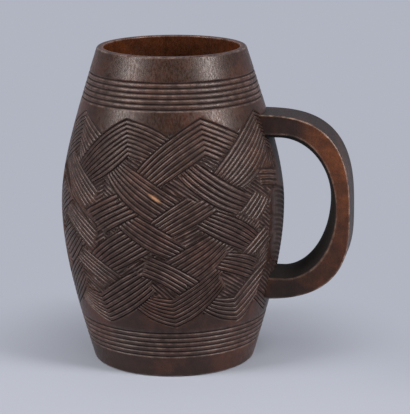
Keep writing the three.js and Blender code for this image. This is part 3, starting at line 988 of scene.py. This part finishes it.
def strap_line(outer, side, finger, y):
    """One lengthwise line of the strap, evenly stepped between its two roots."""
    path = outer * OUTER_BEND + side * SIDE_BEND + finger * FINGER_BEND
    reached = lengths_along(path)
    fine = np.linspace(0, reached[-1], FINE_STEPS)
    x, z = (np.interp(fine, reached, path[:, axis]) for axis in (0, 1))
    wall = np.sqrt((outer_radius(z) - ROOT_SINK) ** 2 - y * y)
    outside = np.flatnonzero(x > wall)
    even = np.linspace(outside[0], outside[-1], STRAP_STEPS)
    x, z = (np.interp(even, np.arange(FINE_STEPS), axis) for axis in (x, z))
    return np.stack([x, np.full(STRAP_STEPS, y), z], 1)


def build_handle():
    section = strap_section()
    lines = np.array([strap_line(*corner[:4]) for corner in section])
    around_section, along = lines.shape[:2]
    places = lines.transpose(1, 0, 2).reshape(-1, 3)
    corners = np.arange(along * around_section).reshape(along, around_section)
    following = np.roll(corners, -1, 1)
    sides = np.stack([corners[:-1], following[:-1], following[1:], corners[1:]], 2)
    faces = [*sides.reshape(-1, 4).tolist(), corners[0, ::-1].tolist(), corners[-1].tolist()]
    mesh = bpy.data.meshes.new("strap_handle")
    mesh.from_pydata([tuple(place) for place in places * MM], [], faces)

    dirt, worn_and_lit = (np.tile([corner[i] for corner in section], along) for i in (4, 5))
    on_side = np.tile([0.25 if corner[0] == 1 else 1.0 for corner in section], along)
    outwards = np.clip((places[:, 0] - BARE_FROM) / BARE_RUN, 0, 1)
    upwards = np.clip((places[:, 2] - HANDLE_BOTTOM - BARE_ABOVE_ROOT) / BARE_RISE, 0.35, 1)
    mark_points(mesh, dirt, worn_and_lit, on_side * outwards * upwards * (dirt == 0))
    return mesh


handle_mesh = build_handle()
print("handle open edges:", welded(handle_mesh), "faces:", len(handle_mesh.polygons))
handle = placed("strap_handle", handle_mesh)

# %% [markdown]
# Wood from nodes
#
# Colours are written as sRGB, as a paint program shows them, and turned to linear by one
# function. One more function adds a node, sets it and links it.

# %% Colour and node helpers
def linear(colour):
    """An sRGB hex colour as the linear red, green, blue and alpha that Blender wants."""
    parts = [int(colour[i:i + 2], 16) / 255 for i in (1, 3, 5)]
    return [p / 12.92 if p <= 0.04045 else ((p + 0.055) / 1.055) ** 2.4 for p in parts] + [1]


def add_node(tree, kind, inputs=None, **settings):
    """A new node with its settings, its values and its links from other nodes' outputs."""
    made = tree.nodes.new("ShaderNode" + kind)
    for name, value in settings.items():
        setattr(made, name, value)
    for name, value in (inputs or {}).items():
        if isinstance(value, bpy.types.NodeSocket):
            tree.links.new(value, made.inputs[name])
        else:
            made.inputs[name].default_value = value
    return made


def emptied(data):
    """The node tree of a new material or world, without the nodes it came with."""
    data.use_nodes = True
    data.node_tree.nodes.clear()
    return data.node_tree


print("sRGB mid grey in linear:", [round(value, 3) for value in linear("#808080")])

# %% [markdown]
# Dark hardwood, cut with edge tools and rubbed with oil and hands for many years
#
# Oil and smoke have made it nearly black-brown in the grooves. The arrises are rubbed, so
# they are greyer and lighter, and that lighter colour is also a painted highlight. Red shows
# in soft patches where the film is thin, orange-brown where it is gone, and pale fresh wood
# in one small chip on the belly. The surface is satin with slanting scratches, and dull in
# the grooves, which were never rubbed. Real pores and dust are finer than a tenth of a
# millimetre, so grain and specks are drawn coarser to show.

# %% The wood of the cup and of the handle
GRAIN_WIDTH = 0.9
GRAIN_LENGTH = 22
MOTTLE_SIZE = 4
SPECK_SIZE = 0.55
SCRATCH_WIDTH = 0.6
SCRATCH_LENGTH = 9
SCRATCH_SLANT = -48
SATIN, DULL = 0.36, 0.85
WARM_SHEEN = "#FFF1EC"
CHIP_AT = (2.2, -59.8, 100.6)
CHIP_SIZE = (5, 4, 1.3)
CHIP_SLANT = 33


def rubbed_hardwood(name, film, thin_film, crest_and_highlight, groove, bare, red_amount, patch_size, chipped=None):
    """Wood in layers: film, red patches, bare wood, rubbed arrises with a painted highlight, dark
    grooves, which also paint the shade between the strap's roots, and a chip.
    """
    wood = bpy.data.materials.new(name)
    tree = emptied(wood)
    where = add_node(tree, "TexCoord").outputs["Object"]
    upright = add_node(tree, "Mapping", {
        "Vector": where, "Scale": (1, 1, GRAIN_WIDTH / GRAIN_LENGTH)})
    slanted = add_node(tree, "Mapping", {
        "Vector": where, "Rotation": (0, radians(SCRATCH_SLANT), 0),
        "Scale": (1, 1, SCRATCH_WIDTH / SCRATCH_LENGTH)})
    grain, patches, mottle, specks, scratches = (
        add_node(tree, "TexNoise", {
            "Vector": vector, "Scale": 1 / (size * MM), "Detail": detail}).outputs[0]
        for vector, size, detail in (
            (upright.outputs[0], GRAIN_WIDTH, 3), (where, patch_size, 4), (where, MOTTLE_SIZE, 4),
            (where, SPECK_SIZE, 1), (slanted.outputs[0], SCRATCH_WIDTH, 2))
    )
    cut, worn_and_lit, bared = (
        add_node(tree, "Attribute", attribute_name=attribute).outputs["Fac"]
        for attribute in (CUT_DIRT_AND_SHADE_NAME, WEAR_AND_HIGHLIGHT_NAME, BARE_NAME)
    )
    chip = add_node(tree, "Mapping", {
        "Vector": where, "Location": [value * MM for value in CHIP_AT],
        "Rotation": (0, radians(CHIP_SLANT), 0),
        "Scale": [value * MM for value in CHIP_SIZE]}, vector_type="TEXTURE")
    from_chip = add_node(tree, "VectorMath", {0: chip.outputs[0]}, operation="LENGTH")
    # The dark groove mask also carries the painted shade between the strap's roots.
    groove_dirt_and_shade, thin, mottled_bare, mottled_wear_and_highlight, grain_tone, mottle_tone, speck_tone, satin, in_chip = (
        add_node(tree, "MapRange", {
            "Value": source, "From Min": low, "From Max": high,
            "To Min": bottom, "To Max": top}).outputs[0]
        for source, low, high, bottom, top in (
            (cut, -0.14, -0.62, 0, 1),
            (patches, 0.5, 0.68, 0, red_amount),
            (patches, 0.36, 0.55, 0.5, 1),
            (mottle, 0.4, 0.62, 0.35, 1),
            (grain, 0.35, 0.65, 0.91, 1.08),
            (mottle, 0.35, 0.65, 0.76, 1.2),
            (specks, 0.3, 0.7, 0.68, 1.3),
            (scratches, 0.35, 0.65, SATIN - 0.07, SATIN + 0.18),
            (from_chip.outputs["Value"], 1.0, 0.35, 0, 0.85),
        )
    )
    bare_share, rubbed_and_lit = (
        add_node(tree, "Math", {0: one, 1: other}, operation="MULTIPLY").outputs[0]
        for one, other in ((bared, mottled_bare), (worn_and_lit, mottled_wear_and_highlight))
    )
    colour = linear(film)
    # The rubbed layer is wear with a painted highlight; the groove layer is patina, dirt and the
    # painted shade between the strap's roots.
    layers = [(thin, thin_film), (bare_share, bare), (rubbed_and_lit, crest_and_highlight), (groove_dirt_and_shade, groove)]
    for amount, over in layers + [(in_chip, chipped)] * bool(chipped):
        colour = add_node(tree, "Mix", {
            0: amount, 6: colour, 7: linear(over)}, data_type="RGBA").outputs[2]
    for factor in (grain_tone, mottle_tone, speck_tone):
        colour = add_node(tree, "VectorMath", {
            0: colour, "Scale": factor}, operation="SCALE").outputs[0]
    roughness = add_node(tree, "Mix", {0: groove_dirt_and_shade, 2: satin, 3: DULL})
    normal = {}
    for height, strength, deep in ((grain, 0.16, 0.15), (specks, 0.18, 0.06), (scratches, 0.4, 0.12)):
        normal["Normal"] = add_node(tree, "Bump", {
            "Height": height, "Strength": strength, "Distance": deep * MM, **normal}).outputs[0]
    shader = add_node(tree, "BsdfPrincipled", {
        "Base Color": colour, "Roughness": roughness.outputs[0], **normal,
        "IOR": 1.45, "Specular Tint": linear(WARM_SHEEN)})
    add_node(tree, "OutputMaterial", {"Surface": shader.outputs[0]})
    return wood


# Each crest colour is the rubbed arris with a painted highlight in it.
cup_wood = rubbed_hardwood(
    "rubbed_hardwood", film="#2B1911", thin_film="#4A281B", crest_and_highlight="#62504A",
    groove="#1C0E0A", bare="#4D2610", red_amount=0.6, patch_size=26, chipped="#A87A58")
handle_wood = rubbed_hardwood(
    "hand_polished_hardwood", film="#22120C", thin_film="#3F2212", crest_and_highlight="#7C6458",
    groove="#0C0907", bare="#542B12", red_amount=0.8, patch_size=14)
cup_mesh.materials.append(cup_wood)
handle_mesh.materials.append(handle_wood)
print("materials:", cup_wood.name, handle_wood.name)

# %% [markdown]
# The studio
#
# The mug stands on a pale blue-grey sweep of paper. Two tall soft boxes at the sides draw an
# upright highlight each on the barrel. The room is dark in front and pale behind, so the wood
# between the highlights stays dark and its outline gets a grey rim. The paper keeps the mug's
# shadow near it. Further off the eye sees an even tone instead, a little lighter in front.

# %% Floor, lights and world
FLOOR_RADIUS = 6.0
FLOOR_CORNERS = 96
FLOOR_COLOUR = "#A4A7B1"
FAR_TONE = "#B1B5C1"
FRONT_TONE = "#BEC1CC"
NEAR_EDGE, FAR_EDGE = 0.045, 0.15
FRONT_EDGE, BACK_EDGE = -0.075, 0.01
ROOM_COLOUR = "#BCC0CC"
ROOM_FRONT, ROOM_BEHIND = 0.04, 0.68
PALE_FROM, PALE_TO = -0.4, 0.7


def seen_directly(tree):
    """One for what the eye, a reflection or clear glass meets, and zero for other light."""
    path = add_node(tree, "LightPath").outputs
    total = add_node(tree, "Math", {
        0: path["Is Camera Ray"], 1: path["Is Glossy Ray"]}, operation="ADD")
    return add_node(tree, "Math", {
        0: total.outputs[0], 1: path["Is Transmission Ray"]},
        operation="ADD", use_clamp=True).outputs[0]


def sweep_paper():
    """Matt paper that catches the shadow, and turns to an even tone away from the mug."""
    paper = bpy.data.materials.new("sweep_paper")
    tree = emptied(paper)
    where = add_node(tree, "TexCoord").outputs["Object"]
    away = add_node(tree, "VectorMath", {0: where}, operation="LENGTH")
    far = add_node(tree, "MapRange", {
        "Value": away.outputs["Value"], "From Min": NEAR_EDGE, "From Max": FAR_EDGE},
        interpolation_type="SMOOTHSTEP")
    even = add_node(tree, "Math", {
        0: far.outputs[0], 1: seen_directly(tree)}, operation="MULTIPLY")
    lit = add_node(tree, "BsdfPrincipled", {
        "Base Color": linear(FLOOR_COLOUR), "Roughness": 0.9})
    apart = add_node(tree, "SeparateXYZ", {"Vector": where})
    backwards = add_node(tree, "MapRange", {
        "Value": apart.outputs["Y"], "From Min": FRONT_EDGE, "From Max": BACK_EDGE},
        interpolation_type="SMOOTHSTEP")
    tones = add_node(tree, "Mix", {
        0: backwards.outputs[0], 6: linear(FRONT_TONE), 7: linear(FAR_TONE)}, data_type="RGBA")
    tone = add_node(tree, "Emission", {"Color": tones.outputs[2]})
    surface = add_node(tree, "MixShader", {
        0: even.outputs[0], 1: lit.outputs[0], 2: tone.outputs[0]})
    add_node(tree, "OutputMaterial", {"Surface": surface.outputs[0]})
    return paper


def build_floor():
    mesh = bpy.data.meshes.new("studio_floor")
    turns = [2 * pi * i / FLOOR_CORNERS for i in range(FLOOR_CORNERS)]
    ring = [(FLOOR_RADIUS * cos(turn), FLOOR_RADIUS * sin(turn), 0) for turn in turns]
    mesh.from_pydata(ring, [], [list(range(FLOOR_CORNERS))])
    mesh.materials.append(sweep_paper())
    return placed("studio_floor", mesh)


def soft_box(name, bearing, distance, height, size, watts):
    """An area light that looks at the mug from a bearing in degrees."""
    light = bpy.data.lights.new(name, "AREA")
    light.shape = "RECTANGLE"
    light.size, light.size_y = size
    light.energy = watts
    lamp = placed(name, light)
    angle = radians(bearing)
    lamp.location = (distance * cos(angle), distance * sin(angle), height)
    aim = Vector((0, 0, HEIGHT / 2 * MM)) - lamp.location
    lamp.rotation_euler = aim.to_track_quat("-Z", "Y").to_euler()


def build_room():
    """The world: dark in front of the mug and pale behind it."""
    room = bpy.data.worlds.new("room")
    tree = emptied(room)
    towards = add_node(tree, "TexCoord").outputs["Generated"]
    apart = add_node(tree, "SeparateXYZ", {"Vector": towards})
    strength = add_node(tree, "MapRange", {
        "Value": apart.outputs["Y"], "From Min": PALE_FROM, "From Max": PALE_TO,
        "To Min": ROOM_FRONT, "To Max": ROOM_BEHIND}, interpolation_type="SMOOTHSTEP")
    light = add_node(tree, "Background", {
        "Color": linear(ROOM_COLOUR), "Strength": strength.outputs[0]})
    add_node(tree, "OutputWorld", {"Surface": light.outputs[0]})
    return room


floor = build_floor()
soft_box("left_soft_box", -142, 1.5, 0.98, (0.7, 1.3), 33)
soft_box("right_soft_box", -22, 1.6, 0.98, (0.52, 1.3), 39)
soft_box("top_fill", -80, 1.2, 1.9, (1.2, 1.2), 9)
scene.world = build_room()

# %% [markdown]
# Everything rides on the imported model's one body. The two pieces take the places of the CAD
# nodes, which are hidden but stay in the scene. The two pieces take the places of the CAD
# nodes, which stay behind for the collisions.

# %% Put the pieces on the frame
for piece, node, slot in ((cup, "cup_body", "cup_wood"), (handle, "handle", "handle_wood")):
    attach(piece, "root")
    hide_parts(node)
